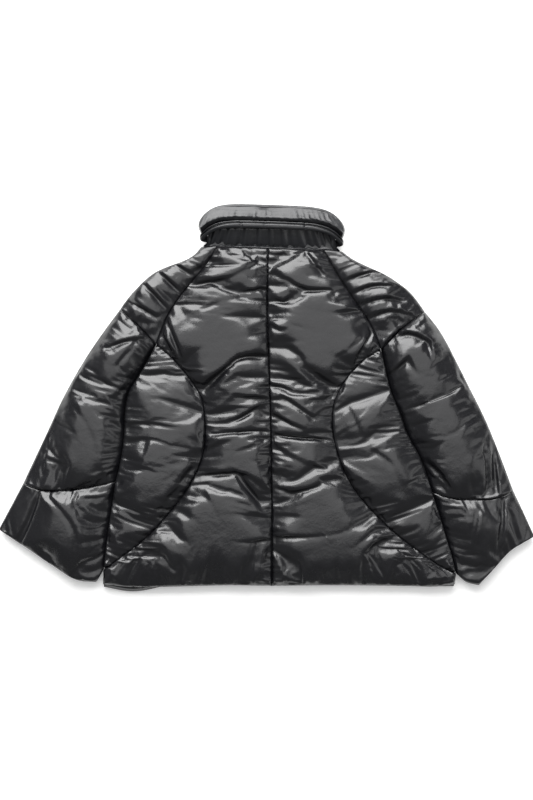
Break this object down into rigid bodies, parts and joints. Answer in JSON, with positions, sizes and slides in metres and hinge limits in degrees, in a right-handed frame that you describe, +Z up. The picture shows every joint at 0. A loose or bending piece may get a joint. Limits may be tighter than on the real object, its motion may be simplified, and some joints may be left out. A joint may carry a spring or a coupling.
{
  "type": "puffer jacket",
  "caption": "Cropped swing puffer jacket in glossy black nylon, laid flat with its back up, with bell sleeves, deep cuffs and a turned-down funnel collar.",
  "frame": {"origin": "middle of the jacket's box, on the surface that it lies on", "axes": "+X towards the wearer's right sleeve, +Y towards the collar, +Z up out of the surface, through the back of the jacket"},
  "size_m": [0.9316, 0.6738, 0.044],
  "materials": {
    "shell_nylon": "calendered wet-look black nylon taffeta, high gloss, padded and wrinkled",
    "collar_nylon": "the same calendered nylon, full and rounded over the roll of the collar",
    "band_nylon": "the same nylon, folded into a narrow corded band, softly glossy"
  },
  "bodies": {
    "root": {"back_centre_left": "shell_nylon", "back_side_left": "shell_nylon", "shoulder_left": "shell_nylon", "sleeve_left": "shell_nylon", "cuff_left": "shell_nylon", "front_left": "shell_nylon", "back_centre_right": "shell_nylon", "back_side_right": "shell_nylon", "shoulder_right": "shell_nylon", "sleeve_right": "shell_nylon", "cuff_right": "shell_nylon", "front_right": "shell_nylon", "front_placket": "shell_nylon", "collar_stand": "collar_nylon", "collar_fall": "collar_nylon", "collar_band": "band_nylon"}
  },
  "joints": []
}
